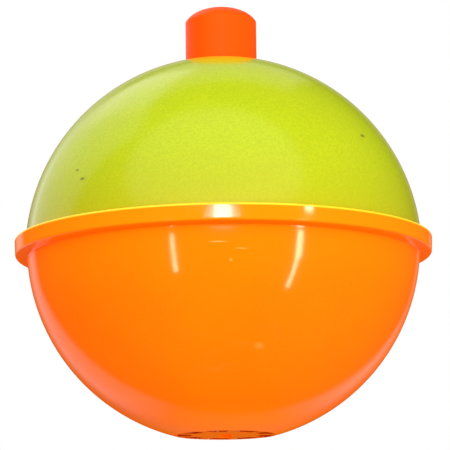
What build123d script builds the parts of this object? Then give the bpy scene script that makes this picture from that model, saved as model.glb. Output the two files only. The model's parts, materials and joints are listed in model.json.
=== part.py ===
from build123d import *
from math import acos, degrees, sqrt
import os

# A push-button fishing float: a hollow ball of two moulded halves, with a sprung button on top
# and one bent wire through the middle whose two hooks hold the line.
# Millimetres. The origin is the middle of the flat foot and +Z runs up through the button.
# Both hooks of the wire bend towards +Y.

# ---- Driving dimensions ------------------------------------------------------------------
ball_radius = 19.05           # a 1 1/2 inch ball: the yellow half is a sphere about the centre
centre = 17.43                # height of that sphere's centre above the foot
bowl_radius = 18.89           # the orange half is a sphere of its own
bowl_rise = 0.83              # its centre is this far above the other, as the halves overlap
wall = 1.1
seat_clearance = 0.04         # radial gap where the halves are welded into each other

# Rim band of the lower half, heights from the ball's centre
rim_top = 1.27
rim_face_end = -0.08          # lower end of the upright face, above its rounded corner
rim_under = -0.45             # where the underside meets the bowl
rim_radius_top = 20.05
rim_radius_low = 19.99
rim_round = 0.20
rim_edge_round = 0.14         # softened top edge
seat_up = 0.35                # the dome's skirt ends here, above the centre
skirt_radius = 19.01

# Mechanism tube in the middle of the ball, which keeps the hollow round it dry
tube_inner = 4.40
tube_outer = 5.50
tube_end = -1.0               # lower end of the upper half's tube, from the centre
stem_radius = 4.34
stem_hollow = 3.20
stem_top = 3.0                # upper end of the lower half's stem, from the centre
pocket_roof = 7.4             # of the hook pocket, above the foot
hub_top = 10.0

# Push button, heights from the ball's centre
button_radius = 3.46
button_shoulder = 16.4        # top of its flange, under the crown
button_corner = 23.0
button_apex = 24.40
button_crown_out = 3.65       # half width of the ellipse that the crown is part of
button_flange_radius = 4.25
button_flange_thick = 1.0
button_corner_round = 0.12
button_hollow = 2.2
button_web = 19.0             # underside of the solid head
spigot_radius = 3.0
spigot_length = 2.0
running_clearance = 0.06
stop_gap = 0.05               # left between the flange and the crown that stops it

# Hook wire
wire_radius = 0.40
hook_bend = 1.10              # centre line radius of each hook
top_hook_height = 23.7        # outside of the upper bend, from the ball's centre
top_hook_leg = 1.1
bottom_hook_height = 0.35     # outside of the lower bend, above the foot
bottom_hook_leg = 1.3
slot_side_gap = 0.22          # between the wire and the walls of its slots
slot_end_gap = 0.15

# Return spring
spring_wire_radius = 0.25
spring_radius = 3.58
spring_turns = 8.0
spring_end_gap = 0.02

# Shallow ring recess in the foot, broken by short bridges
recess_inner = 3.3
recess_outer = 4.6
recess_depth = 0.35
recess_bridges = 9
recess_bridge_width = 0.8

# ---- Worked out from those ---------------------------------------------------------------
bowl_centre = centre + bowl_rise
crown_underside = centre + button_shoulder + stop_gap
bore_radius = button_radius + running_clearance
guide_radius = wire_radius + running_clearance
hook_reach = 2 * hook_bend
slot_width = 2 * (wire_radius + slot_side_gap)
slot_end = hook_reach + wire_radius + slot_end_gap


def sphere_arc(radius, out_a, out_b, middle_height, side=1):
    """Arc of a sphere on the axis between two distances out, above or below its middle."""
    outs = (out_a, (out_a + out_b) / 2, out_b)
    points = [(out, 0, middle_height + side * sqrt(radius**2 - out**2)) for out in outs]
    return ThreePointArc(*points)


def turned(*edges):
    """Solid of revolution about the ball's axis from a closed outline in the XZ plane."""
    outline = Wire(list(edges))
    return revolve(Face(outline), Axis.Z, 360)


def path(*points):
    """Straight edges through points given as (distance from the axis, height)."""
    at = [(out, 0, up) for out, up in points]
    return [Line(a, b) for a, b in zip(at, at[1:])]


def slot(depth_from, depth_to):
    """Block that clears a hook and the shaft beside it, between two heights."""
    start = -(wire_radius + slot_side_gap)
    block = Box(slot_width, slot_end - start, depth_to - depth_from)
    return Pos(0, (start + slot_end) / 2, (depth_from + depth_to) / 2) * block


def upper_shell():
    inner = ball_radius - wall
    seat = centre + seat_up
    skirt_inner = sqrt(inner**2 - seat_up**2)
    skirt_up = centre + sqrt(ball_radius**2 - skirt_radius**2)
    crown_edge = centre + sqrt(ball_radius**2 - bore_radius**2)
    tube_root = centre + sqrt(inner**2 - tube_outer**2)
    return turned(
        *path((skirt_inner, seat), (skirt_radius, seat), (skirt_radius, skirt_up)),
        sphere_arc(ball_radius, skirt_radius, bore_radius, centre),
        *path(
            (bore_radius, crown_edge),
            (bore_radius, crown_underside),
            (tube_inner, crown_underside),
            (tube_inner, centre + tube_end),
            (tube_outer, centre + tube_end),
            (tube_outer, tube_root),
        ),
        sphere_arc(inner, tube_outer, skirt_inner, centre),
    )


def rim_outline(bowl_meets):
    """Edges of the rim band, from where its underside leaves the bowl to its softened top edge."""
    low, top = centre + rim_face_end, centre + rim_top
    round_start = rim_radius_low - rim_round
    diagonal = rim_round * sqrt(0.5)
    soft = rim_edge_round
    corner = soft * (1 - sqrt(0.5))
    return [
        *path((bowl_meets, centre + rim_under), (round_start, low - rim_round)),
        ThreePointArc(
            (round_start, 0, low - rim_round),
            (round_start + diagonal, 0, low - diagonal),
            (rim_radius_low, 0, low),
        ),
        *path((rim_radius_low, low), (rim_radius_top, top - soft)),
        ThreePointArc(
            (rim_radius_top, 0, top - soft),
            (rim_radius_top - corner, 0, top - corner),
            (rim_radius_top - soft, 0, top),
        ),
    ]


def foot_recess():
    """The ring recess in the foot's face, with the bridges left across it."""
    height = 2 * recess_depth
    ring = Cylinder(recess_outer, height) - Cylinder(recess_inner, height)
    bridge = Pos(recess_outer, 0, 0) * Box(2 * recess_outer, recess_bridge_width, height)
    for i in range(recess_bridges):
        ring -= Rot(0, 0, 360 * i / recess_bridges) * bridge
    return ring


def lower_shell():
    inner = bowl_radius - wall
    seat = centre + seat_up
    top = centre + rim_top
    socket = skirt_radius + seat_clearance
    bowl_meets = sqrt(bowl_radius**2 - (bowl_rise - rim_under) ** 2)
    foot_radius = sqrt(bowl_radius**2 - bowl_centre**2)
    inner_rim = sqrt(inner**2 - (bowl_rise - seat_up) ** 2)
    stem_root = bowl_centre - sqrt(inner**2 - stem_radius**2)
    body = turned(
        *path((0, 0), (foot_radius, 0)),
        sphere_arc(bowl_radius, foot_radius, bowl_meets, bowl_centre, -1),
        *rim_outline(bowl_meets),
        *path(
            (rim_radius_top - rim_edge_round, top),
            (socket, top),
            (socket, seat),
            (inner_rim, seat),
        ),
        sphere_arc(inner, inner_rim, stem_radius, bowl_centre, -1),
        *path(
            (stem_radius, stem_root),
            (stem_radius, centre + stem_top),
            (stem_hollow, centre + stem_top),
            (stem_hollow, hub_top),
            (guide_radius, hub_top),
            (guide_radius, pocket_roof - 1),
            (0, pocket_roof - 1),
            (0, 0),
        ),
    )
    body -= slot(-1, pocket_roof)
    return body - foot_recess()


def crown_arc():
    """The crown's outline: part of an ellipse on the axis, from the corner in to the wire's hole."""
    share = 1 - sqrt(1 - (button_radius / button_crown_out) ** 2)
    crown_up = (button_apex - button_corner) / share
    low = centre + button_apex - crown_up
    middle = Plane(origin=(0, 0, low), x_dir=(1, 0, 0), z_dir=(0, -1, 0))
    start = degrees(acos(button_radius / button_crown_out))
    turn = degrees(acos(guide_radius / button_crown_out)) - start
    return middle * EllipticalCenterArc(
        (0, 0), button_crown_out, crown_up, start_angle=start, arc_size=turn
    )


def push_button():
    flange_low = button_shoulder - button_flange_thick
    crown = crown_arc()
    hole_edge = (crown @ 1).Z
    blank = turned(
        *path(
            (guide_radius, hole_edge),
            (guide_radius, centre + button_web),
            (button_hollow, centre + button_web),
            (button_hollow, centre + flange_low - spigot_length),
            (spigot_radius, centre + flange_low - spigot_length),
            (spigot_radius, centre + flange_low),
            (button_flange_radius, centre + flange_low),
            (button_flange_radius, centre + button_shoulder),
            (button_radius, centre + button_shoulder),
            (button_radius, centre + button_corner),
        ),
        crown,
    )
    corner = blank.edges().filter_by(GeomType.CIRCLE).filter_by(
        lambda e: abs(e.center().Z - centre - button_corner) < 0.01 and e.radius > 3
    )
    blank = fillet(corner, button_corner_round)
    leg_end = top_hook_height - wire_radius - hook_bend - top_hook_leg
    return blank - slot(centre + leg_end - slot_end_gap, centre + button_apex + 1)


def hook_wire():
    """One wire: a straight shaft on the axis with a U bend and a short leg at each end."""
    high = centre + top_hook_height - wire_radius - hook_bend
    low = bottom_hook_height + wire_radius + hook_bend
    route = Wire(
        [
            Line((0, hook_reach, high - top_hook_leg), (0, hook_reach, high)),
            ThreePointArc(
                (0, hook_reach, high), (0, hook_bend, high + hook_bend), (0, 0, high)
            ),
            Line((0, 0, high), (0, 0, low)),
            ThreePointArc(
                (0, 0, low), (0, hook_bend, low - hook_bend), (0, hook_reach, low)
            ),
            Line((0, hook_reach, low), (0, hook_reach, low + bottom_hook_leg)),
        ]
    )
    start = Plane(route @ 0, z_dir=route % 0)
    return sweep(start * Circle(wire_radius), path=route)


def return_spring():
    """Compression spring between the stem's top and the button's flange."""
    low = centre + stem_top + spring_wire_radius + spring_end_gap
    high = centre + button_shoulder - button_flange_thick - spring_wire_radius - spring_end_gap
    pitch = (high - low) / spring_turns
    coil = Pos(0, 0, low) * Helix(pitch, high - low, spring_radius)
    start = Plane(coil @ 0, z_dir=coil % 0)
    return sweep(start * Circle(spring_wire_radius), path=coil, is_frenet=True)


parts = {
    "upper_shell": upper_shell,
    "lower_shell": lower_shell,
    "push_button": push_button,
    "hook_wire": hook_wire,
    "return_spring": return_spring,
}

os.makedirs("parts", exist_ok=True)
for name, make in parts.items():
    shape = make()
    export_step(shape, f"parts/{name}.step")
    box = shape.bounding_box()
    print(f"{name}: volume {shape.volume:.1f} mm3, z {box.min.Z:.2f} to {box.max.Z:.2f}")
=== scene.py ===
import json
import math
import bmesh
import bpy
import numpy as np
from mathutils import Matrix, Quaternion, Vector


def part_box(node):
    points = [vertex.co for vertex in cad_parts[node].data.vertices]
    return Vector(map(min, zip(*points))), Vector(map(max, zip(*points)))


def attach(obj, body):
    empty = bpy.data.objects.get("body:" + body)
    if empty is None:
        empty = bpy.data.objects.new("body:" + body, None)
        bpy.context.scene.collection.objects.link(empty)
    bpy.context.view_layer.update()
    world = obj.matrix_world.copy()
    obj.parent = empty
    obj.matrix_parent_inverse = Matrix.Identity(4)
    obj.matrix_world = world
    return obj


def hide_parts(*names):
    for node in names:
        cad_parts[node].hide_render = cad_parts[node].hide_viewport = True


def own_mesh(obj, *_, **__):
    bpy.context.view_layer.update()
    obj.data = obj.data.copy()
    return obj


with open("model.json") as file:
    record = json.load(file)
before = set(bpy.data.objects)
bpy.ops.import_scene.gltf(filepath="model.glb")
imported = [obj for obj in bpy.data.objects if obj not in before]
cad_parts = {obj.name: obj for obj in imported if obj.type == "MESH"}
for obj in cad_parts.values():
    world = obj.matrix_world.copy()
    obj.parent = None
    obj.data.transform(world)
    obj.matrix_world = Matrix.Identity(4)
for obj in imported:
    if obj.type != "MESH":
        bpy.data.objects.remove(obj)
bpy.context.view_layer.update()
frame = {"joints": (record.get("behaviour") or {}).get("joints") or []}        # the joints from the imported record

mm = 0.001

# sizes that several pieces share; a name that ends in Up counts from the ball's centre
ball = {
    "centre": 17.43 * mm,          # of the yellow half's sphere, above the foot
    "domeRadius": 19.05 * mm,
    "bowlRadius": 18.89 * mm,
    "bowlUp": 0.83 * mm,           # middle of the orange half's sphere
    "wall": 1.1 * mm,
    "seatUp": 0.35 * mm,
    "skirtRadius": 19.01 * mm,
    "guideRadius": 0.46 * mm,      # hole that the wire slides in
    "around": 320,                 # steps round the axis
    "outerSteps": 90,              # along each half's outer sphere
    "innerSteps": 40,              # and along its inner one
}
hooks = {
    "wireRadius": 0.40 * mm,
    "bend": 1.10 * mm,
    "topUp": 23.7 * mm,            # outside of the upper bend
    "topLeg": 1.1 * mm,
    "bottomHeight": 0.35 * mm,     # outside of the lower bend, above the foot
    "bottomLeg": 1.3 * mm,
    "slotGap": 0.22 * mm,          # between the wire and the sides of its slots
    "endGap": 0.15 * mm,           # and past its hooks
    "bendSteps": 33,
    "legSteps": 4,
    "shaftSteps": 60,
    "sides": 20,
}
hooks["reach"] = 2 * hooks["bend"]


def straight(a, b, steps):
    # evenly spaced points from a up to but not including b, each (distance from the axis, height)
    t = np.arange(steps)[:, None] / steps
    return np.array(a) * (1 - t) + np.array(b) * t


def sphereArc(radius, middle, startOut, endOut, steps, side=1):
    # points on a circle about the axis point at height middle, from one distance out to another,
    # above it or below it, evenly spaced by angle
    angle = np.linspace(math.asin(startOut / radius), math.asin(endOut / radius), steps + 1)
    return np.stack([radius * np.sin(angle), middle + side * radius * np.cos(angle)], axis=1)


def corners(points, rounding=0.0):
    # outline points with one rounding radius each, ready for softened
    return [(*p, rounding) for p in np.atleast_2d(points)]


def softened(outline, steps=8):
    # each corner (out, height, rounding) becomes an arc that touches both its sides
    given = [np.asarray(c, float) for c in outline]
    points = []
    for before, here, after in zip(given[-1:] + given[:-1], given, given[1:] + given[:1]):
        if here[2] == 0:
            points.append(here[None, :2])
            continue
        back, ahead = before[:2] - here[:2], after[:2] - here[:2]
        back, ahead = back / np.linalg.norm(back), ahead / np.linalg.norm(ahead)
        halfAngle = math.acos(np.clip(back @ ahead, -1, 1)) / 2
        reach = here[2] / math.tan(halfAngle)
        middle = here[:2] + (back + ahead) / np.linalg.norm(back + ahead) * here[2] / math.sin(halfAngle)
        start, end = here[:2] + back * reach - middle, here[:2] + ahead * reach - middle
        t = np.linspace(0, 1, steps + 1)[:, None]
        turn = math.pi - 2 * halfAngle
        points.append(middle + (np.sin((1 - t) * turn) * start + np.sin(t * turn) * end) / math.sin(turn))
    return np.concatenate(points)


def meshFrom(name, vertices, faces):
    mesh = bpy.data.meshes.new(name)
    mesh.from_pydata(vertices.tolist(), [], faces)
    mesh.update()
    piece = bpy.data.objects.new(name, mesh)
    bpy.context.collection.objects.link(piece)
    return piece


def gridFaces(rows, columns, closedRows=True):
    # quads between neighbouring rows and columns; columns always close, rows close when asked
    r, c = np.meshgrid(np.arange(rows if closedRows else rows - 1), np.arange(columns), indexing="ij")
    r, c = r.ravel(), c.ravel()
    nextRow, nextColumn = (r + 1) % rows, (c + 1) % columns
    return np.stack([r * columns + c, r * columns + nextColumn, nextRow * columns + nextColumn,
                     nextRow * columns + c], axis=1).tolist()


def turned(name, outline, around, shape=None):
    # a closed outline carried round the Z axis: point (out, height) goes to (out cos a, out sin a, height),
    # and shape(out, angle, height) may return changed distances and heights
    angle = np.arange(around) * 2 * math.pi / around
    out = np.repeat(outline[:, :1], around, axis=1)
    height = np.repeat(outline[:, 1:], around, axis=1)
    if shape:
        out, height = shape(out, angle[None, :], height)
    vertices = np.stack([out * np.cos(angle), out * np.sin(angle), height], axis=2).reshape(-1, 3)
    return meshFrom(name, vertices, gridFaces(len(outline), around))


def tube(name, path, radius, sideways, sides, capRings=4):
    # a round section carried along a path: each ring is centre + radius (cos a side + sin a up), where side
    # is sideways made square to the path; at each end the rings shrink as a quarter circle to a point
    tangent = np.gradient(path, axis=0)
    tangent /= np.linalg.norm(tangent, axis=1)[:, None]
    side = sideways - (sideways * tangent).sum(axis=1)[:, None] * tangent
    side /= np.linalg.norm(side, axis=1)[:, None]
    up = np.cross(tangent, side)
    lift = np.linspace(0, math.pi / 2, capRings + 1)[:-1]
    order = np.concatenate([np.zeros(capRings, int), np.arange(1, len(path) - 1),
                            np.full(capRings, len(path) - 1)])
    along = np.concatenate([-np.sin(lift[::-1]), np.zeros(len(path) - 2), np.sin(lift)]) * radius
    size = np.concatenate([np.cos(lift[::-1]), np.ones(len(path) - 2), np.cos(lift)]) * radius
    centres = path[order] + along[:, None] * tangent[order]
    angle = np.arange(sides)[None, :, None] * 2 * math.pi / sides
    ring = np.cos(angle) * side[order][:, None] + np.sin(angle) * up[order][:, None]
    vertices = (centres[:, None] + size[:, None, None] * ring).reshape(-1, 3)
    tips = np.array([path[0] - tangent[0] * radius, path[-1] + tangent[-1] * radius])
    first, last = np.arange(sides), len(vertices) - sides + np.arange(sides)
    caps = [np.stack([np.roll(first, -1), first, np.full(sides, len(vertices))], axis=1),
            np.stack([last, np.roll(last, -1), np.full(sides, len(vertices) + 1)], axis=1)]
    faces = gridFaces(len(centres), sides, closedRows=False) + caps[0].tolist() + caps[1].tolist()
    return meshFrom(name, np.concatenate([vertices, tips]), faces)


def facingOut(piece, within=0.0001 * mm):
    # merges points closer than within and turns every face outwards
    work = bmesh.new()
    work.from_mesh(piece.data)
    bmesh.ops.remove_doubles(work, verts=work.verts, dist=within)
    bmesh.ops.recalc_face_normals(work, faces=work.faces)
    work.to_mesh(piece.data)
    work.free()


def smooth(piece, angle=40):
    # smooth shading, but for edges sharper than angle in degrees
    bpy.ops.object.select_all(action="DESELECT")
    piece.select_set(True)
    bpy.context.view_layer.objects.active = piece
    bpy.ops.object.shade_smooth_by_angle(angle=math.radians(angle))


def slotCutter(name, low, high, steps=10):
    # upright block round the shaft and the hook's leg: a capsule along Y, raised from low to high
    half = hooks["wireRadius"] + hooks["slotGap"]
    far = hooks["reach"] + hooks["wireRadius"] + hooks["endGap"] - half
    turn = np.linspace(0, math.pi, steps + 1)
    farEnd = np.stack([half * np.cos(turn), far + half * np.sin(turn)], axis=1)
    nearEnd = np.stack([-half * np.cos(turn), -half * np.sin(turn)], axis=1)
    outline = np.concatenate([farEnd, nearEnd])
    n = len(outline)
    levels = [np.column_stack([outline, np.full(n, z)]) for z in (low, high)]
    ends = [list(range(n - 1, -1, -1)), list(range(n, 2 * n))]
    return meshFrom(name, np.concatenate(levels), gridFaces(2, n, closedRows=False) + ends)


def cutBy(piece, cutter):
    # takes the cutter's shape out of the piece and deletes the cutter
    step = piece.modifiers.new("cut", "BOOLEAN")
    step.operation, step.solver, step.object = "DIFFERENCE", "EXACT", cutter
    bpy.context.view_layer.objects.active = piece
    bpy.ops.object.modifier_apply(modifier="cut")
    bpy.data.objects.remove(cutter)


dome = {
    "tubeInner": 4.40 * mm,
    "tubeOuter": 5.50 * mm,
    "tubeEndUp": -1.0 * mm,
    "boreRadius": 3.52 * mm,       # hole that the button slides in
    "crownUp": 16.45 * mm,         # underside of the crown that stops the button's flange
    "boreSoft": 0.10 * mm,
    "edgeSoft": 0.08 * mm,
}


def makeDome():
    # yellow half as one closed outline: skirt, outer sphere, button bore, crown, middle tube, inner sphere
    c, d = ball["centre"], dome
    inner = ball["domeRadius"] - ball["wall"]
    seat, crown, tubeEnd = c + ball["seatUp"], c + d["crownUp"], c + d["tubeEndUp"]
    skirtInner = math.sqrt(inner ** 2 - ball["seatUp"] ** 2)
    outside = sphereArc(ball["domeRadius"], c, ball["skirtRadius"], d["boreRadius"], ball["outerSteps"])
    inside = sphereArc(inner, c, d["tubeOuter"], skirtInner, ball["innerSteps"])
    outline = softened(
        corners([(ball["skirtRadius"], seat)], d["edgeSoft"])
        + corners(outside[:-1])
        + corners(outside[-1:], d["boreSoft"])
        + corners([(d["boreRadius"], crown), (d["tubeInner"], crown),
                   (d["tubeInner"], tubeEnd), (d["tubeOuter"], tubeEnd)], d["edgeSoft"])
        + corners(inside))
    piece = turned("domeShell", outline, ball["around"])
    facingOut(piece)
    smooth(piece)
    return piece


bowl = {
    "rimTopUp": 1.27 * mm,
    "rimFaceEndUp": -0.28 * mm,    # where face and underside would meet without their rounding
    "rimUnderUp": -0.45 * mm,      # where the underside meets the bowl
    "rimTopRadius": 20.05 * mm,
    "rimLowRadius": 19.99 * mm,
    "rimRound": 0.20 * mm,
    "rimSoft": 0.14 * mm,
    "rimBulge": 0.006 * mm,        # of its face, which is very slightly rounded
    "faceFrom": 0.16,              # shares of the face's height between which its own points lie
    "faceTo": 0.88,
    "facePoints": 12,
    "underSoft": 0.05 * mm,
    "socketRadius": 19.05 * mm,
    "stemRadius": 4.34 * mm,
    "stemHollow": 3.20 * mm,
    "stemTopUp": 3.0 * mm,
    "stemSoft": 0.08 * mm,
    "hubTop": 10.0 * mm,
    "pocketRoof": 7.4 * mm,        # above the foot
    "pocketBelow": 1.0 * mm,       # that its cutter runs past the foot
    "footSoft": 0.06 * mm,
    "recessInner": 3.3 * mm,
    "recessOuter": 4.6 * mm,
    "recessDepth": 0.35 * mm,
    "recessSlope": 0.03 * mm,      # half width of its slanted sides
    "recessPoints": 8,             # across its floor
    "bridges": 9,
    "bridgeHalf": 0.4 * mm,
}


def footRecess(out, angle, height):
    # lifts the foot's face between two radii, except within a bridge's half width of evenly spaced rays
    b = bowl
    share = angle * b["bridges"] / (2 * math.pi)
    away = np.abs(share - np.round(share)) * 2 * math.pi / b["bridges"] * out
    along = np.clip((away - b["bridgeHalf"]) / (2 * b["recessSlope"]), 0, 1)
    inside = (height < b["recessSlope"]) & (out > b["recessInner"]) & (out < b["recessOuter"])
    return out, np.where(inside, height + b["recessDepth"] * along, height)


def makeBowl():
    # orange half as one closed outline: foot, outer sphere, rim band, seat for the dome, inner sphere,
    # stem and hub
    c, b = ball["centre"], bowl
    middle = c + ball["bowlUp"]
    inner = ball["bowlRadius"] - ball["wall"]
    seat = c + ball["seatUp"]
    footRadius = math.sqrt(ball["bowlRadius"] ** 2 - middle ** 2)
    meets = math.sqrt(ball["bowlRadius"] ** 2 - (ball["bowlUp"] - b["rimUnderUp"]) ** 2)
    innerRim = math.sqrt(inner ** 2 - (ball["bowlUp"] - ball["seatUp"]) ** 2)
    outside = sphereArc(ball["bowlRadius"], middle, footRadius, meets, ball["outerSteps"], -1)
    inside = sphereArc(inner, middle, innerRim, b["stemRadius"], ball["innerSteps"], -1)
    faceLow = np.array([b["rimLowRadius"], c + b["rimFaceEndUp"]])
    faceTop = np.array([b["rimTopRadius"], c + b["rimTopUp"]])
    share = np.linspace(b["faceFrom"], b["faceTo"], b["facePoints"])[:, None]
    swelling = 4 * share * (1 - share) * np.array([b["rimBulge"], 0])      # a parabola, full halfway up
    face = faceLow * (1 - share) + faceTop * share + swelling
    slope = b["recessSlope"]
    recess = np.linspace(b["recessInner"] + slope, b["recessOuter"] - slope, b["recessPoints"])
    foot = [ball["guideRadius"], b["recessInner"] - slope, *recess, b["recessOuter"] + slope]
    outline = softened(
        corners([(out, 0) for out in foot])
        + corners(outside[:1], b["footSoft"])
        + corners(outside[1:-1])
        + corners(outside[-1:], b["underSoft"])
        + corners(faceLow, b["rimRound"])
        + corners(face)
        + corners(faceTop, b["rimSoft"])
        + corners([(b["socketRadius"], c + b["rimTopUp"])], b["underSoft"])
        + corners([(b["socketRadius"], seat)])
        + corners(inside)
        + corners([(b["stemRadius"], c + b["stemTopUp"]), (b["stemHollow"], c + b["stemTopUp"]),
                   (b["stemHollow"], b["hubTop"]), (ball["guideRadius"], b["hubTop"])], b["stemSoft"]))
    piece = turned("bowlShell", outline, ball["around"], footRecess)
    facingOut(piece)
    cutBy(piece, slotCutter("pocketCutter", -b["pocketBelow"], b["pocketRoof"]))
    smooth(piece)
    return piece


button = {
    "radius": 3.46 * mm,
    "cornerUp": 23.0 * mm,
    "apexUp": 24.40 * mm,
    "crownOut": 3.65 * mm,         # half width of the ellipse that the crown is part of
    "cornerSoft": 0.14 * mm,
    "shoulderUp": 16.4 * mm,
    "flangeRadius": 4.25 * mm,
    "flangeThick": 1.0 * mm,
    "edgeSoft": 0.08 * mm,
    "hollow": 2.2 * mm,
    "webUp": 19.0 * mm,
    "spigotRadius": 3.0 * mm,
    "spigotLength": 2.0 * mm,
    "around": 192,
    "crownPoints": 40,
    "crownSkip": 3,                # of them that the corner's rounding takes up
    "sideSteps": 8,
    "sideStart": 0.32 * mm,        # of the side's own points, above the shoulder
    "slotAbove": 1.0 * mm,         # that the slot's cutter runs past the crown
}


def makeButton():
    # red-orange plunger: head with an elliptical crown, flange, spigot and hollow as one closed outline
    c, b = ball["centre"], button
    share = 1 - math.sqrt(1 - (b["radius"] / b["crownOut"]) ** 2)
    crown = (b["apexUp"] - b["cornerUp"]) / share
    out = np.linspace(b["radius"], ball["guideRadius"], b["crownPoints"])
    cap = np.column_stack([out, c + b["apexUp"] - crown + crown * np.sqrt(1 - (out / b["crownOut"]) ** 2)])
    shoulder = c + b["shoulderUp"]
    flangeLow = shoulder - b["flangeThick"]
    spigotEnd = flangeLow - b["spigotLength"]
    sideFoot, sideTop = (b["radius"], shoulder + b["sideStart"]), (b["radius"], c + b["cornerUp"])
    side = straight(sideFoot, sideTop, b["sideSteps"])
    outline = softened(
        corners(cap[:1], b["cornerSoft"])
        + corners(cap[b["crownSkip"]:])
        + corners([(ball["guideRadius"], c + b["webUp"]), (b["hollow"], c + b["webUp"]),
                   (b["hollow"], spigotEnd), (b["spigotRadius"], spigotEnd), (b["spigotRadius"], flangeLow),
                   (b["flangeRadius"], flangeLow), (b["flangeRadius"], shoulder),
                   (b["radius"], shoulder)], b["edgeSoft"])
        + corners(side))
    piece = turned("pushButton", outline, b["around"])
    facingOut(piece)
    legEnd = c + hooks["topUp"] - hooks["wireRadius"] - hooks["bend"] - hooks["topLeg"]
    cutBy(piece, slotCutter("slotCutter", legEnd - hooks["endGap"], c + b["apexUp"] + b["slotAbove"]))
    smooth(piece)
    return piece


def makeHookWire():
    # straight shaft on the axis, a half turn at each end and a short leg back, all in the YZ plane
    h = hooks
    high = ball["centre"] + h["topUp"] - h["wireRadius"] - h["bend"]
    low = h["bottomHeight"] + h["wireRadius"] + h["bend"]
    turn = np.linspace(0, math.pi, h["bendSteps"])
    topBend = np.column_stack([h["bend"] + h["bend"] * np.cos(turn), high + h["bend"] * np.sin(turn)])
    lowBend = np.column_stack([h["bend"] - h["bend"] * np.cos(turn), low - h["bend"] * np.sin(turn)])
    topEnd = high - h["topLeg"] + h["wireRadius"]
    lowEnd = low + h["bottomLeg"] - h["wireRadius"]
    route = np.concatenate([
        straight((h["reach"], topEnd), (h["reach"], high), h["legSteps"]),
        topBend[:-1],
        straight((0, high), (0, low), h["shaftSteps"]),
        lowBend[:-1],
        straight((h["reach"], low), (h["reach"], lowEnd), h["legSteps"]),
        [(h["reach"], lowEnd)],
    ])
    path = np.column_stack([np.zeros(len(route)), route])
    piece = tube("hookWire", path, h["wireRadius"], np.array([[1.0, 0, 0]]), h["sides"])
    facingOut(piece)
    smooth(piece, angle=60)
    return piece


spring = {
    "radius": 3.58 * mm,
    "wireRadius": 0.25 * mm,
    "turns": 9.5,
    "closedTurns": 1.0,            # at each end, wound tight
    "closedPitch": 1.02,           # in wire diameters
    "endGap": 0.02 * mm,
    "stepsPerTurn": 48,
    "sides": 14,
}


def makeSpring():
    # helix that climbs one wire's thickness a turn at its ends and evenly between them
    s = spring
    low = ball["centre"] + bowl["stemTopUp"] + s["wireRadius"] + s["endGap"]
    high = ball["centre"] + button["shoulderUp"] - button["flangeThick"] - s["wireRadius"] - s["endGap"]
    turn = np.linspace(0, s["turns"], int(s["turns"] * s["stepsPerTurn"]))
    closed = 2 * s["wireRadius"] * s["closedPitch"]
    openPitch = (high - low - 2 * s["closedTurns"] * closed) / (s["turns"] - 2 * s["closedTurns"])
    nearEnd = np.minimum(turn, s["turns"] - turn) < s["closedTurns"]
    pitch = np.where(nearEnd, closed, openPitch)
    # the pitch is averaged over about half a turn, so that the coil eases from tight to open
    window = s["stepsPerTurn"] // 2 + 1
    pitch = np.convolve(np.pad(pitch, window // 2, mode="edge"), np.ones(window) / window, mode="valid")
    rise = np.concatenate([[0], np.cumsum((pitch[1:] + pitch[:-1]) / 2 * np.diff(turn))])
    height = low + rise * (high - low) / rise[-1]
    angle = 2 * math.pi * turn
    path = np.column_stack([s["radius"] * np.cos(angle), s["radius"] * np.sin(angle), height])
    outward = np.column_stack([np.cos(angle), np.sin(angle), np.zeros(len(angle))])
    piece = tube("returnSpring", path, s["wireRadius"], outward, s["sides"])
    facingOut(piece)
    smooth(piece, angle=60)
    return piece


class Plug:
    # wraps one output socket, so that value maths is written as an expression and adds Math nodes
    def __init__(self, tree, socket):
        self.tree, self.socket = tree, socket

    def maths(self, operation, *others):
        return add(self.tree, "ShaderNodeMath", {"operation": operation}, dict(enumerate([self, *others])))

    def __add__(self, other):
        return self.maths("ADD", other)

    def __sub__(self, other):
        return self.maths("SUBTRACT", other)

    def __rsub__(self, other):
        return add(self.tree, "ShaderNodeMath", {"operation": "SUBTRACT"}, {0: other, 1: self})

    def __mul__(self, other):
        return self.maths("MULTIPLY", other)

    def __pow__(self, other):
        return self.maths("POWER", other)

    __radd__ = __add__
    __rmul__ = __mul__


def add(tree, kind, settings=None, sockets=None, out=0):
    # one node: its settings first, then the values or links of its input sockets
    node = tree.nodes.new(kind)
    for key, value in (settings or {}).items():
        setattr(node, key, value)
    for key, value in (sockets or {}).items():
        if isinstance(value, Plug):
            tree.links.new(value.socket, node.inputs[key])
        else:
            node.inputs[key].default_value = value
    return Plug(tree, node.outputs[out])


def newMaterial(name):
    material = bpy.data.materials.new(name)
    material.use_nodes = True
    material.node_tree.nodes.clear()
    return material, material.node_tree


def finishMaterial(tree, surface):
    output = tree.nodes.new("ShaderNodeOutputMaterial")
    tree.links.new(surface.socket, output.inputs["Surface"])


def objectPoint(tree):
    return add(tree, "ShaderNodeTexCoord", out="Object")


def noise(tree, point, scale, detail, roughness=0.5, distortion=0.0):
    return add(tree, "ShaderNodeTexNoise", {"noise_dimensions": "3D"},
               {"Vector": point, "Scale": scale, "Detail": detail, "Roughness": roughness,
                "Distortion": distortion}, out="Fac")


def band(tree, value, low, high, toLow=0.0, toHigh=1.0):
    # smooth step: toLow where the value is low, toHigh where it is high, and an S-shaped rise between
    return add(tree, "ShaderNodeMapRange", {"interpolation_type": "SMOOTHSTEP"},
               {"Value": value, "From Min": low, "From Max": high, "To Min": toLow, "To Max": toHigh})


def mixed(tree, amount, a, b, blend="MIX"):
    # colour a with amount of colour b over it; the node's inputs 6 and 7 and its output 2 are its colours
    return add(tree, "ShaderNodeMix", {"data_type": "RGBA", "blend_type": blend, "clamp_factor": True},
               {0: amount, 6: a, 7: b}, out=2)


def rgba(r, g, b):
    return (r, g, b, 1.0)


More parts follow.
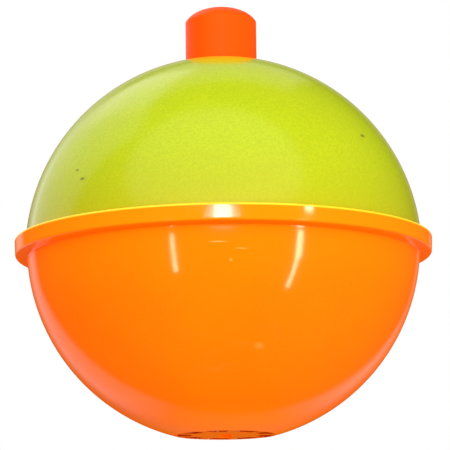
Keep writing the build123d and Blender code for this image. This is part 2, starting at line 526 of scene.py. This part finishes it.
def split(tree, point):
    # a point's three coordinates
    return [add(tree, "ShaderNodeSeparateXYZ", None, {"Vector": point}, out=k) for k in range(3)]


def specks(tree, point, look):
    # small round flecks: near a cell's middle, and only in the cells whose random value is low enough
    cells, tone = (add(tree, "ShaderNodeTexVoronoi", {"feature": "F1"},
                       {"Vector": point, "Scale": look["scale"]}, out=k) for k in ("Distance", "Color"))
    chosen = add(tree, "ShaderNodeSeparateColor", None, {"Color": tone}).maths("LESS_THAN", look["share"])
    return band(tree, cells, look["outer"], look["inner"]) * chosen


def scratches(tree, point, look):
    # thin bright lines: where a stretched noise crosses its middle value, kept in patches by a second noise
    slanted = add(tree, "ShaderNodeMapping", {"vector_type": "POINT"},
                  {"Vector": point, "Rotation": look["turn"], "Scale": look["stretch"]})
    lines = noise(tree, slanted, look["scale"], detail=2.0)
    thin = band(tree, (lines - 0.5).maths("ABSOLUTE"), look["outer"], look["inner"])
    patchy = noise(tree, point, look["patchScale"], detail=1.0)
    return thin * band(tree, patchy, *look["patches"])


plasticLooks = {
    # what differs between the three; the skin below is the same for all; the glow colour and strength are
    # painted light, a constant emission that keeps the plastic bright on its shaded sides
    "yellowPlastic": {
        "tone": rgba(0.418, 0.548, 0.010), "toneB": rgba(0.430, 0.540, 0.012), "paintedGlow": rgba(0.6, 0.6, 0.0),
        "paintedGlowStrength": 0.03, "roughness": 0.19, "specular": 0.30, "haze": 0.06, "grain": 0.34,
    },
    "orangePlastic": {
        "tone": rgba(0.93, 0.200, 0.001), "toneB": rgba(0.93, 0.188, 0.001), "paintedGlow": rgba(1.0, 0.03, 0.0),
        "paintedGlowStrength": 0.36, "roughness": 0.09, "specular": 0.30, "haze": 0.02, "grain": 0.10,
    },
    "buttonPlastic": {
        "tone": rgba(0.92, 0.092, 0.002), "toneB": rgba(0.90, 0.082, 0.002), "paintedGlow": rgba(1.0, 0.02, 0.0),
        "paintedGlowStrength": 0.42, "roughness": 0.30, "specular": 0.05, "haze": 0.08, "grain": 0.08,
    },
}


plasticSkin = {
    # scales count per metre, pairs are levels that a smooth step runs between, and cover is how much of a
    # mark's own tone shows
    "cloudScale": 90.0, "clouds": (0.35, 0.68),
    "grainScale": 5200.0, "grains": (0.3, 0.7), "grainTone": rgba(1.0, 0.9, 0.5), "grainBump": 0.03,
    "peelScale": 260.0, "peelBump": 0.7, "bumpStrength": 0.06, "bumpDepth": 0.1 * mm, "ior": 1.46,
    "dust": {"scale": 160.0, "outer": 0.10, "inner": 0.05, "share": 0.025},
    "dustTone": rgba(0.12, 0.09, 0.02), "dustCover": 0.75, "dustRough": 0.3,
    "scuff": {"scale": 60.0, "turn": (0.5, 0.35, 0.8), "stretch": (1.0, 7.0, 2.0), "outer": 0.006,
              "inner": 0.0018, "patchScale": 21.0, "patches": (0.56, 0.66)},
    "scuffTone": rgba(1.0, 0.95, 0.8), "scuffCover": 0.006, "scuffRough": 0.02, "scuffBump": 0.01,
}


def makePlastic(name, detail=None):
    # fluorescent moulded plastic: cloudy tone, dust, faint scuffs, a skin with a little orange peel, and a
    # painted glow from a constant emission that lightens its shaded sides
    look, skin = plasticLooks[name], plasticSkin
    material, tree = newMaterial(name)
    point = objectPoint(tree)
    clouds = noise(tree, point, skin["cloudScale"], detail=4.0, roughness=0.55, distortion=0.4)
    grain = noise(tree, point, skin["grainScale"], detail=1.0)
    tone = mixed(tree, band(tree, clouds, *skin["clouds"]), look["tone"], look["toneB"])
    grainy = band(tree, grain, *skin["grains"]) * look["grain"]
    tone = mixed(tree, grainy, tone, skin["grainTone"], "SOFT_LIGHT")
    dust = specks(tree, point, skin["dust"])
    scuffs = scratches(tree, point, skin["scuff"])
    tone = mixed(tree, dust * skin["dustCover"], tone, skin["dustTone"])
    tone = mixed(tree, scuffs * skin["scuffCover"], tone, skin["scuffTone"])
    # painted glow: emission that stands in for light on the shaded sides
    paintedGlow = look["paintedGlow"]
    if detail:
        tone, paintedGlow = detail(tree, point, tone, paintedGlow)
    roughness = look["roughness"] + (clouds - 0.5) * look["haze"]
    roughness = roughness + scuffs * skin["scuffRough"] + dust * skin["dustRough"]
    peel = noise(tree, point, skin["peelScale"], detail=2.0) * skin["peelBump"]
    peel = peel + grain * skin["grainBump"] + scuffs * skin["scuffBump"]
    bump = add(tree, "ShaderNodeBump", None,
               {"Height": peel, "Strength": skin["bumpStrength"], "Distance": skin["bumpDepth"]})
    surface = add(tree, "ShaderNodeBsdfPrincipled", None, {
        "Base Color": tone, "Roughness": roughness, "Normal": bump, "IOR": skin["ior"],
        "Specular IOR Level": look["specular"], "Emission Color": paintedGlow,
        "Emission Strength": look["paintedGlowStrength"]})
    finishMaterial(tree, surface)
    return material


def mark(tree, point, x, up, halfLength, halfHeight):
    # a small patch on the ball's front, its place and size in mm: 1 in its middle, fading to 0 at its edge
    across, deep, height = split(tree, point)
    near = deep.maths("LESS_THAN", 0.0)
    along = band(tree, (across - x * mm).maths("ABSOLUTE"), halfLength * mm, 0.0)
    level = ball["centre"] + up * mm
    upright = band(tree, (height - level).maths("ABSOLUTE"), halfHeight * mm, 0.0)
    return along * upright * near


domeFlecks = [
    # across, height from the centre, half length and half height in mm
    (-12.8, 4.9, 0.34, 0.24),
    (-13.3, 5.9, 0.22, 0.20),
    (13.0, 9.2, 0.30, 0.26),
]


domeTones = {
    "bounceFromUp": 9 * mm,          # height at which the painted orange bounce light starts
    "paintedBounceTone": rgba(0.45, 0.43, 0.012), "paintedBounceCover": 0.5,
    "fleckTone": rgba(0.10, 0.09, 0.02), "fleckCover": 0.9,
}


def domeDetail(tree, point, tone, paintedGlow):
    # painted orange bounce light from the orange half tinges the yellow one a little way up, and a few dark
    # flecks sit on it
    d, c = domeTones, ball["centre"]
    height = split(tree, point)[2]
    # painted bounce light: warmer towards the rim
    warm = band(tree, height, c + d["bounceFromUp"], c + bowl["rimTopUp"], 0.0, d["paintedBounceCover"])
    tone = mixed(tree, warm, tone, d["paintedBounceTone"])
    for fleck in domeFlecks:
        tone = mixed(tree, mark(tree, point, *fleck) * d["fleckCover"], tone, d["fleckTone"])
    return tone, paintedGlow


bowlGlints = [
    # painted highlights and glints, drawn as short pale streaks and a dot: across, height from the centre,
    # half length, half height in mm, and strength
    (-0.45, -2.0, 1.10, 0.09, 0.6),
    (1.60, -2.6, 0.80, 0.07, 0.5),
    (0.65, -3.6, 0.20, 0.18, 0.5),
    (3.10, -10.8, 0.60, 0.42, 0.22),
]


bowlTones = {
    "litFromUp": -7 * mm,         # height at which painted light starts to pale the bowl towards the rim
    "paintedLightTone": rgba(0.93, 0.25, 0.001), "paintedLightCover": 0.5,
    "footFrom": 2.4 * mm,          # and below which painted light from below pales it towards the foot, down to footTo
    "footTo": 0.3 * mm,
    "paintedLowLightTone": rgba(0.93, 0.25, 0.002),
    "rimTone": rgba(0.93, 0.262, 0.002),
    "edgeUnder": (0.26 * mm, 0.12 * mm),       # painted yellow highlight on the rim's top edge: below the rim's top
    "edgeWithin": (0.34 * mm, 0.20 * mm),      # and inside its radius
    "edgeHighlightTone": rgba(1.0, 0.62, 0.02),
    "edgeHighlightGlow": rgba(1.0, 0.46, 0.03),
    "creaseShade": (0.30 * mm, 0.05 * mm),          # painted shade above and below the corner under the rim
    "creaseShadeTone": rgba(0.90, 0.13, 0.0), "creaseShadeCover": 0.55,
    "recessFloor": (0.005 * mm, 0.03 * mm),    # heights between which painted shade darkens the foot's recess
    "recessRoof": (0.5 * mm, 0.4 * mm),
    "recessRoom": 0.05 * mm,                   # beyond its two radii
    "recessShadeTone": rgba(0.30, 0.012, 0.0), "recessShadeCover": 0.85,
    "recessShadeGlow": rgba(0.2, 0.0, 0.0), "recessShadeGlowCover": 0.7,
    "glintTone": rgba(1.0, 0.62, 0.16),
}


def bowlDetail(tree, point, tone, paintedGlow):
    # painted light makes it a little yellower towards the rim and at the foot; a painted yellow highlight
    # and glow line the rim's thin top edge; painted shade darkens under the rim and the foot's recess;
    # painted glints cross the front
    d, c = bowlTones, ball["centre"]
    across, deep, height = split(tree, point)
    out = (across * across + deep * deep) ** 0.5
    # painted light: paler towards the rim
    pale = band(tree, height, c + d["litFromUp"], c, 0.0, d["paintedLightCover"])
    tone = mixed(tree, pale, tone, d["paintedLightTone"])
    # painted light from below: paler at the foot
    tone = mixed(tree, band(tree, height, d["footFrom"], d["footTo"]), tone, d["paintedLowLightTone"])
    under = c + bowl["rimUnderUp"]
    tone = mixed(tree, band(tree, height, under, c), tone, d["rimTone"])
    # painted highlight and glow along the rim's thin top edge
    edge = band(tree, height, *(c + bowl["rimTopUp"] - depth for depth in d["edgeUnder"]))
    edge = edge * band(tree, out, *(bowl["rimTopRadius"] - depth for depth in d["edgeWithin"]))
    tone = mixed(tree, edge, tone, d["edgeHighlightTone"])
    paintedGlow = mixed(tree, edge, paintedGlow, d["edgeHighlightGlow"])
    # painted shade in the corner under the rim
    creaseShade = band(tree, (height - under).maths("ABSOLUTE"), *d["creaseShade"])
    tone = mixed(tree, creaseShade * d["creaseShadeCover"], tone, d["creaseShadeTone"])
    # painted shade in the foot's recess, its glow dimmed too
    shadedRecess = band(tree, height, *d["recessFloor"]) * band(tree, height, *d["recessRoof"])
    shadedRecess = shadedRecess * out.maths("GREATER_THAN", bowl["recessInner"] - d["recessRoom"])
    shadedRecess = shadedRecess * out.maths("LESS_THAN", bowl["recessOuter"] + d["recessRoom"])
    tone = mixed(tree, shadedRecess * d["recessShadeCover"], tone, d["recessShadeTone"])
    paintedGlow = mixed(tree, shadedRecess * d["recessShadeGlowCover"], paintedGlow, d["recessShadeGlow"])
    # painted highlights and glints on the front
    for *patch, strength in bowlGlints:
        tone = mixed(tree, mark(tree, point, *patch) * strength, tone, d["glintTone"])
    return tone, paintedGlow


metalLooks = {
    "drawnBrass": {"tone": rgba(0.80, 0.58, 0.25), "dull": rgba(0.42, 0.28, 0.12), "roughness": 0.24},
    "springSteel": {"tone": rgba(0.62, 0.61, 0.59), "dull": rgba(0.36, 0.34, 0.32), "roughness": 0.28},
}
drawnSkin = {
    # what both wires share; the die lines are a noise drawn out along the axis
    "lineScale": 5200.0, "drawnOut": (1, 1, 0.04), "lines": (0.3, 0.7), "lineCover": 0.25,
    "lineTone": rgba(0.95, 0.9, 0.8), "lineRough": 0.1, "bumpStrength": 0.15, "bumpDepth": 0.02 * mm,
    "tarnishScale": 420.0, "tarnish": (0.42, 0.66), "tarnishRough": 0.22,
}


def makeMetal(name):
    # drawn wire: fine die lines along it, dull tarnish in patches
    look, skin = metalLooks[name], drawnSkin
    material, tree = newMaterial(name)
    point = objectPoint(tree)
    stretched = add(tree, "ShaderNodeMapping", None, {"Vector": point, "Scale": skin["drawnOut"]})
    lines = noise(tree, stretched, skin["lineScale"], detail=2.0)
    tarnish = band(tree, noise(tree, point, skin["tarnishScale"], detail=4.0), *skin["tarnish"])
    colour = mixed(tree, tarnish, look["tone"], look["dull"])
    lined = band(tree, lines, *skin["lines"]) * skin["lineCover"]
    colour = mixed(tree, lined, colour, skin["lineTone"], "SOFT_LIGHT")
    roughness = look["roughness"] + tarnish * skin["tarnishRough"] + (lines - 0.5) * skin["lineRough"]
    bump = add(tree, "ShaderNodeBump", None,
               {"Height": lines, "Strength": skin["bumpStrength"], "Distance": skin["bumpDepth"]})
    surface = add(tree, "ShaderNodeBsdfPrincipled", None, {
        "Base Color": colour, "Metallic": 1.0, "Roughness": roughness, "Normal": bump})
    finishMaterial(tree, surface)
    return material


view = {
    "distance": 228.6 * mm,        # twelve ball radii
    "below": 9.6,                  # degrees that the camera looks up by
    "ballInFrame": 0.44111,        # ball radius as a share of the frame's width
    "right": -0.004,               # where the ball's centre falls, from the frame's middle, as such a share
    "up": -0.06511,
    "roll": 0.7,                   # degrees that it is turned about its line of sight
    "sensor": 36,                  # millimetres across
    "clip": (0.005, 20),
}


def makeCamera():
    data = bpy.data.cameras.new("camera")
    camera = bpy.data.objects.new("camera", data)
    bpy.context.collection.objects.link(camera)
    bpy.context.scene.camera = camera
    centre = Vector((0, 0, ball["centre"]))
    below = math.radians(view["below"])
    camera.location = centre + view["distance"] * Vector((0, -math.cos(below), -math.sin(below)))
    radii = view["distance"] / ball["domeRadius"]
    data.sensor_width = view["sensor"]
    data.lens = data.sensor_width * view["ballInFrame"] * math.sqrt(radii ** 2 - 1)
    acrossFrame = ball["domeRadius"] / view["ballInFrame"]      # metres across the frame at the ball
    toBall = (centre - camera.location).normalized()
    right = toBall.cross(Vector((0, 0, 1))).normalized()
    up = right.cross(toBall)
    aim = centre - right * view["right"] * acrossFrame - up * view["up"] * acrossFrame
    camera.rotation_mode = "QUATERNION"
    turn = (aim - camera.location).to_track_quat("-Z", "Y")
    camera.rotation_quaternion = turn @ Quaternion((0, 0, 1), -math.radians(view["roll"]))
    data.clip_start, data.clip_end = view["clip"]


floorLook = {
    "radius": 1.5,
    "middle": 0.0001,              # radius of its innermost ring, as a share of that
    "fadeFrom": 0.16,
    "fadeTo": 1.1,
    "lift": 0.03 * mm,
    "tone": 0.88,
    "rings": 60,
    "around": 96,
}


def makeFloor():
    # pale sheet, seen only by the camera and from above, that fades into the backdrop far out
    look = floorLook
    rings = look["radius"] * np.linspace(look["middle"], 1, look["rings"])[:, None]
    angle = np.arange(look["around"]) * 2 * math.pi / look["around"]
    level = np.full((look["rings"], look["around"]), look["lift"])
    vertices = np.stack([rings * np.cos(angle), rings * np.sin(angle), level], axis=2).reshape(-1, 3)
    faces = [quad[::-1] for quad in gridFaces(look["rings"], look["around"], closedRows=False)]
    piece = meshFrom("floor", vertices, faces)
    material, tree = newMaterial("paleFloor")
    out = add(tree, "ShaderNodeVectorMath", {"operation": "LENGTH"}, {0: objectPoint(tree)}, out="Value")
    fade = band(tree, out, look["fadeFrom"], look["fadeTo"])
    under = add(tree, "ShaderNodeNewGeometry", out="Backfacing")
    seen = add(tree, "ShaderNodeLightPath", out="Is Camera Ray")
    away = under.maths("MAXIMUM", fade).maths("MAXIMUM", 1 - seen)
    tone = look["tone"]
    sheet = add(tree, "ShaderNodeBsdfDiffuse", None, {"Color": rgba(tone, tone, tone)})
    clear = add(tree, "ShaderNodeBsdfTransparent")
    finishMaterial(tree, add(tree, "ShaderNodeMixShader", None, {0: away, 1: sheet, 2: clear}))
    piece.data.materials.append(material)


def areaLight(name, shape, azimuth, elevation, distance, width, height, brightness, roll, colour):
    # sheet of light aimed at the ball; azimuth 0 is the camera's side, positive to the right, and the same
    # brightness looks equally bright at any size
    data = bpy.data.lights.new(name, "AREA")
    data.shape, data.size, data.size_y = shape, width, height
    area = width * height * (math.pi / 4 if shape == "ELLIPSE" else 1)
    data.energy, data.color = brightness * math.pi * area, colour
    light = bpy.data.objects.new(name, data)
    bpy.context.collection.objects.link(light)
    a, e = math.radians(azimuth), math.radians(elevation)
    outward = Vector((math.sin(a) * math.cos(e), -math.cos(a) * math.cos(e), math.sin(e)))
    light.location = Vector((0, 0, ball["centre"])) + outward * distance
    light.visible_camera = False
    light.rotation_mode = "QUATERNION"
    turn = Quaternion((0, 0, 1), math.radians(roll))
    light.rotation_quaternion = (-outward).to_track_quat("-Z", "Y") @ turn


lamp = (1, 0.92, 0.6)
lights = [
    # name, shape, azimuth, elevation, distance, width, height, brightness, roll, colour
    ("keyCore", "RECTANGLE", -0.2, 4.8, 0.26, 0.038, 0.024, 45, 0, (1, 1, 1)),
    ("keyGlow", "ELLIPSE", -0.2, 4.8, 0.26, 0.058, 0.030, 16, 0, (1, 0.95, 0.98)),
    ("keyHaze", "ELLIPSE", -0.2, 4.8, 0.26, 0.084, 0.032, 9, 0, (1, 0.95, 0.98)),
    ("topLight", "ELLIPSE", -6, 44, 0.60, 1.20, 0.90, 1.15, 0, (1, 1, 1)),
    ("sheenLight", "RECTANGLE", -125, 38, 0.80, 0.80, 0.80, 1.1, 0, (1, 0.96, 1)),
    ("backLight", "RECTANGLE", -168, 57, 0.80, 0.72, 0.48, 0.55, 0, (1, 1, 1)),
    ("leftStrip", "RECTANGLE", -28.5, -12, 0.50, 0.017, 0.180, 32, 0, lamp),
    ("rightStrip", "RECTANGLE", 43.5, -6.7, 0.50, 0.030, 0.128, 36, -1, lamp),
    ("rightStripLow", "RECTANGLE", 42.0, -22, 0.50, 0.016, 0.142, 34, -8, lamp),
    ("rimSpark", "RECTANGLE", 45.8, 7.8, 0.50, 0.040, 0.014, 70, 0, lamp),
]
room = {
    # directions are unit vectors: x to the right, y away from the camera, z up
    "ambient": (0.20, 0.58),       # light from all round that falls on dull surfaces: from above, from below
    "ambientRight": 0.40,          # and more of it from the right
    "ambientBack": 0.50,           # and from behind
    "ambientTint": rgba(1.0, 0.90, 0.78),
    "fromBelow": (0.1, -0.9),      # z over which the ambient light goes from its upper to its lower value
    "fromSide": (0.1, 0.9),        # x or y over which the light from the right and from behind comes in
    "frontGloss": 0.03,            # what a glossy surface mirrors in front of the ball
    "backGloss": 0.68,             # and at the sides behind it
    "glossEdge": (0.82, 0.90),     # y at which the one gives way to the other
    "edgeLean": 0.12,              # how much less of it that takes on the left
    "edgeDrop": 0.38,              # and below
    "farGloss": 0.34,              # and straight behind the ball, in the colour below
    "farTint": rgba(1.0, 0.46, 0.04),
    "far": (0.86, 0.995),          # y over which that comes in
    "shade": 0.8,                  # how much darker it mirrors low in the middle
    "shadeAcross": (0.45, 0.20),
    "shadeBelow": (-0.04, -0.16),
}


def makeLight():
    # the world shows three faces: plain white to the camera, a dark room with a bright back to glossy
    # surfaces, and a soft warm light to dull ones
    for settings in lights:
        areaLight(*settings)
    world = bpy.data.worlds.new("paleRoom")
    bpy.context.scene.world = world
    world.use_nodes = True
    tree = world.node_tree
    tree.nodes.clear()
    x, y, z = split(tree, add(tree, "ShaderNodeTexCoord", out="Generated"))
    lowLeft = y - x * room["edgeLean"] - z.maths("MINIMUM", 0.0) * room["edgeDrop"]
    behind = band(tree, lowLeft, *room["glossEdge"], room["frontGloss"], room["backGloss"])
    far = band(tree, y, *room["far"])
    shade = band(tree, x.maths("ABSOLUTE"), *room["shadeAcross"]) * band(tree, z, *room["shadeBelow"])
    mirrored = behind * ((1 - far) * (1 - shade * room["shade"]) + far * room["farGloss"])
    seen = add(tree, "ShaderNodeLightPath", out="Is Camera Ray")
    gloss = add(tree, "ShaderNodeLightPath", out="Is Glossy Ray")
    soft = band(tree, z, *room["fromBelow"], *room["ambient"])
    soft = soft + band(tree, x, *room["fromSide"], 0.0, room["ambientRight"])
    soft = soft + band(tree, y, *room["fromSide"], 0.0, room["ambientBack"])
    tint = mixed(tree, far * gloss, rgba(1, 1, 1), room["farTint"])
    white = add(tree, "ShaderNodeBackground", None, {"Color": tint, "Strength": seen + gloss * mirrored})
    warm = add(tree, "ShaderNodeBackground", None, {
        "Color": room["ambientTint"], "Strength": (1 - seen) * (1 - gloss) * soft})
    output = tree.nodes.new("ShaderNodeOutputWorld")
    both = add(tree, "ShaderNodeAddShader", None, {0: white, 1: warm})
    tree.links.new(both.socket, output.inputs["Surface"])


print("making the materials")
yellow = makePlastic("yellowPlastic", domeDetail)
orange = makePlastic("orangePlastic", bowlDetail)
redOrange = makePlastic("buttonPlastic")
brass = makeMetal("drawnBrass")
steel = makeMetal("springSteel")

plan = [
    # function, body it rides on, CAD node that it stands for, slot, material
    (makeDome, "shell", "upper_shell", "yellow_plastic", yellow),
    (makeBowl, "shell", "lower_shell", "orange_plastic", orange),
    (makeButton, "button", "push_button", "button_plastic", redOrange),
    (makeHookWire, "wire", "hook_wire", "wire", brass),
    (makeSpring, "shell", "return_spring", "spring", steel),
]
made = {}
for make, body, node, slot, material in plan:
    piece = make()
    piece.data.materials.clear()
    piece.data.materials.append(material)
    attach(piece, body)
    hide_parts(node)
    made[node] = piece
    print("made", piece.name, len(piece.data.polygons), "faces")

# the spring gets its own copy of its mesh; the press's range and the spring's length are handed over but
# nothing squashes it
press = next(j for j in frame["joints"] if j["name"] == "button_press")
stemTop = ball["centre"] + bowl["stemTopUp"]
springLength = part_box("return_spring")[1][2] - stemTop
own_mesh(made["return_spring"], "button_press", axis=(0, 0, 1), anchor=(0, 0, stemTop),
          keep=1 - press["range_m"][1] / springLength)

print("setting the stage")
makeFloor()
makeLight()
makeCamera()
bpy.context.scene.view_settings.view_transform = "Standard"
